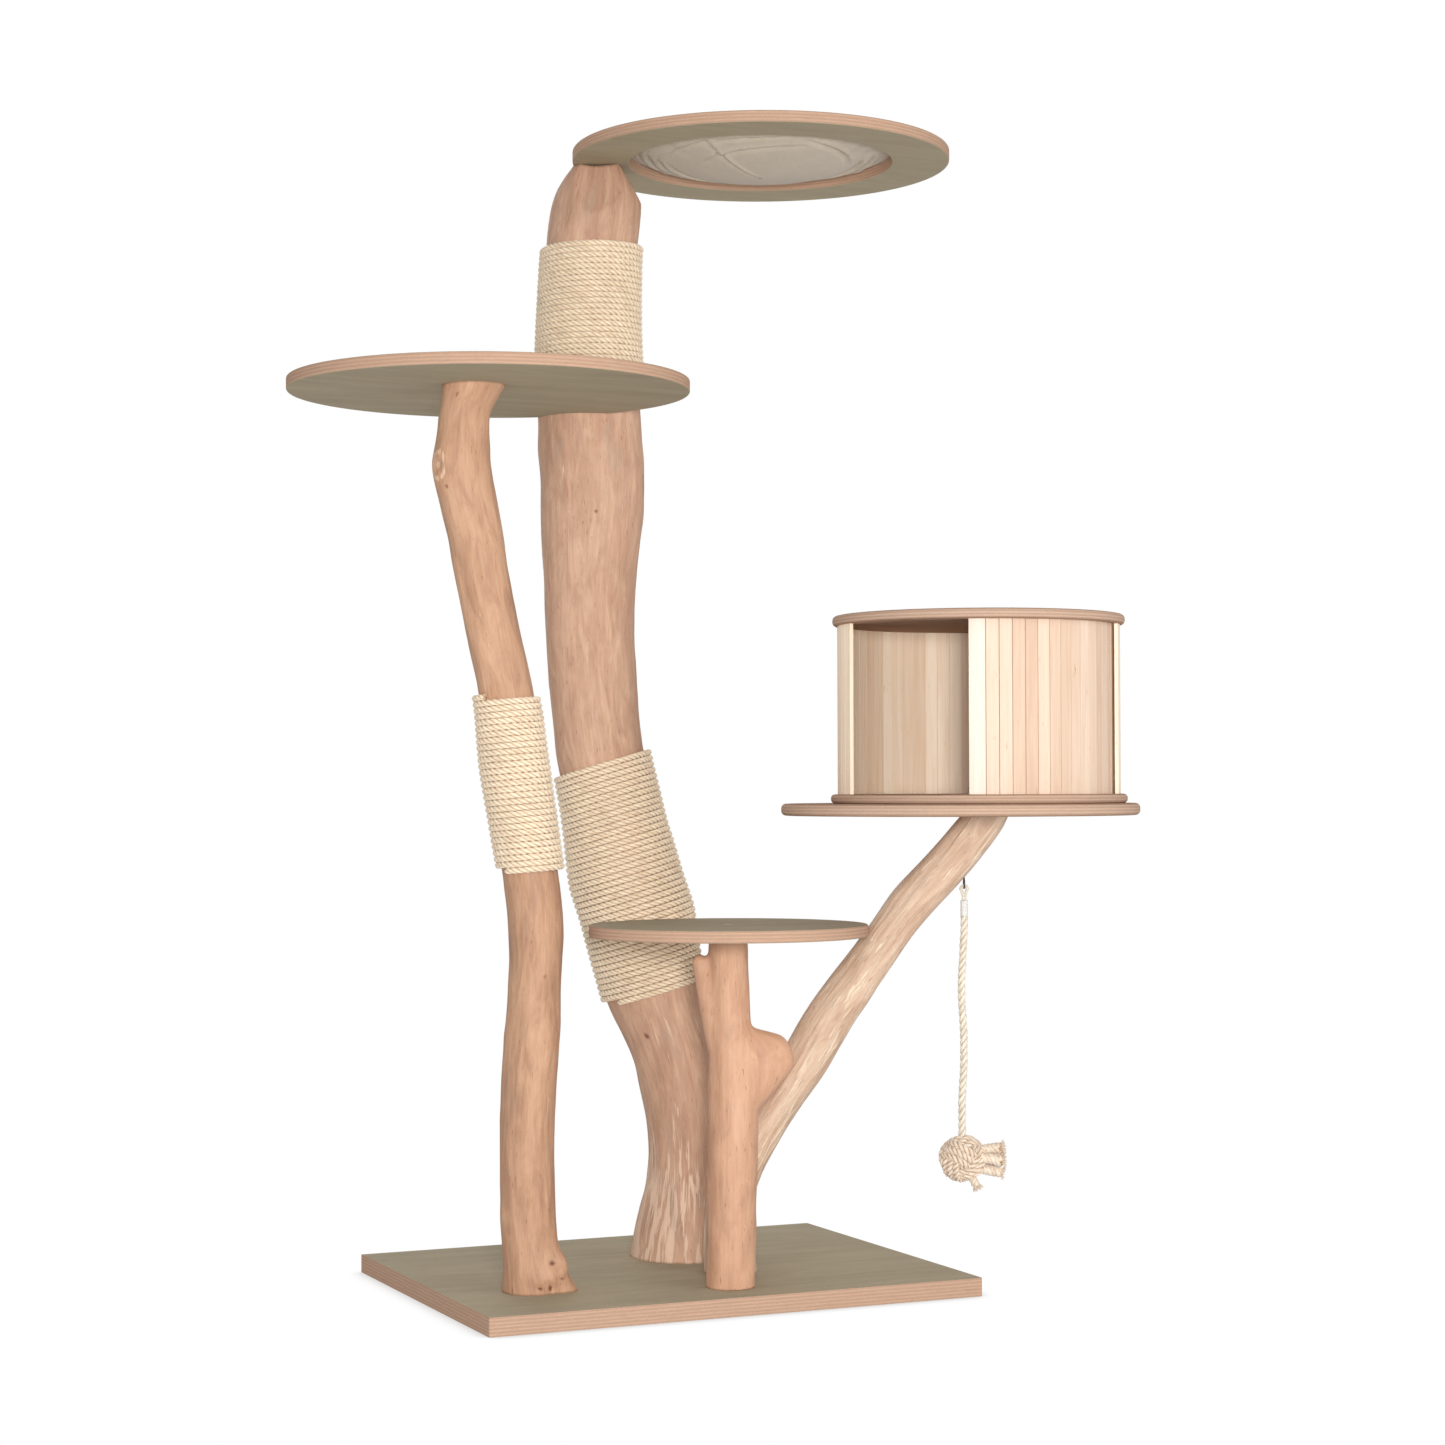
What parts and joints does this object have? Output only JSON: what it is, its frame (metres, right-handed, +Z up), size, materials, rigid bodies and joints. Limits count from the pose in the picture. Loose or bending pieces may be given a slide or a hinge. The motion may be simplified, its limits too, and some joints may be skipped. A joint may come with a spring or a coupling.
{
  "type": "cat tree",
  "caption": "Tall cat tree: natural trunks on a plywood base carry round platforms, a hammock ring, a round house with a sliding slatted door and a hanging rope toy.",
  "frame": {"origin": "centre of the base plate's underside", "axes": "+Z up, +X along the base plate's long edge, +Y towards the back; the house is at +X and -Y"},
  "size_m": [1.2349, 0.941, 1.8096],
  "materials": {
    "plywood": "sanded, oiled matt, with the plies showing at the edge",
    "house_plywood": "sanded, rounded edge, oiled matt",
    "main_wood": "peeled and sanded natural trunk, matt",
    "thin_wood": "peeled and sanded natural trunk, matt",
    "short_wood": "peeled and sanded natural trunk, matt",
    "leaning_wood": "peeled and sanded natural trunk, matt",
    "sisal": "twisted natural sisal rope, fibrous",
    "plug_wood": "sanded",
    "hammock_cloth": "plain woven cotton",
    "hammock_hem": "folded and sewn hem",
    "wall_slats": "planed pale slats, satin",
    "door_slats": "planed pale slats, satin",
    "lead_slat": "planed pale slat, satin",
    "slat_backing": "glued backing cloth",
    "screw_steel": "zinc plated",
    "eye_steel": "dark zinc",
    "toy_rope": "twisted soft natural rope",
    "toy_tape": "white cloth tape"
  },
  "bodies": {
    "root": {"base_plate": "plywood", "base_screws": "screw_steel", "main_trunk": "main_wood", "main_lower_sisal": "sisal", "main_upper_sisal": "sisal", "thin_trunk": "thin_wood", "thin_trunk_sisal": "sisal", "short_trunk": "short_wood", "leaning_trunk": "leaning_wood", "big_platform": "plywood", "big_platform_screws": "screw_steel", "step_platform": "plywood", "step_platform_screws": "screw_steel", "wood_plugs": "plug_wood", "hammock_ring": "plywood", "hammock_ring_screws": "screw_steel", "hammock_cloth": "hammock_cloth", "hammock_hem": "hammock_hem", "hammock_staples": "screw_steel", "house_platform": "house_plywood", "house_platform_screws": "screw_steel", "house_floor": "house_plywood", "house_floor_screws": "screw_steel", "house_wall_slats": "wall_slats", "house_wall_backing": "slat_backing", "house_roof": "house_plywood", "screw_eye": "eye_steel"},
    "door": {"door_slats": "door_slats", "door_backing": "slat_backing", "door_lead_slat": "lead_slat"},
    "loop": {"toy_loop": "toy_rope"},
    "toy": {"toy_sleeve": "toy_tape", "toy_rope": "toy_rope", "toy_knot": "toy_rope", "toy_tassel": "toy_rope", "toy_tail": "toy_rope"}
  },
  "joints": [
    {"name": "door_slide", "type": "hinge", "parent": "root", "child": "door", "pos_m": [0.366, -0.366, 0.77], "axis": [0, 0, 1], "range_deg": [-60, 76]},
    {"name": "toy_swing_fore", "type": "hinge", "parent": "root", "child": "loop", "pos_m": [0.345, -0.357, 0.634], "axis": [0.9135, -0.4067, 0], "range_deg": [-40, 40]},
    {"name": "toy_swing_side", "type": "hinge", "parent": "loop", "child": "toy", "pos_m": [0.345, -0.357, 0.61215], "axis": [0.4067, 0.9135, 0], "range_deg": [-35, 22]}
  ]
}
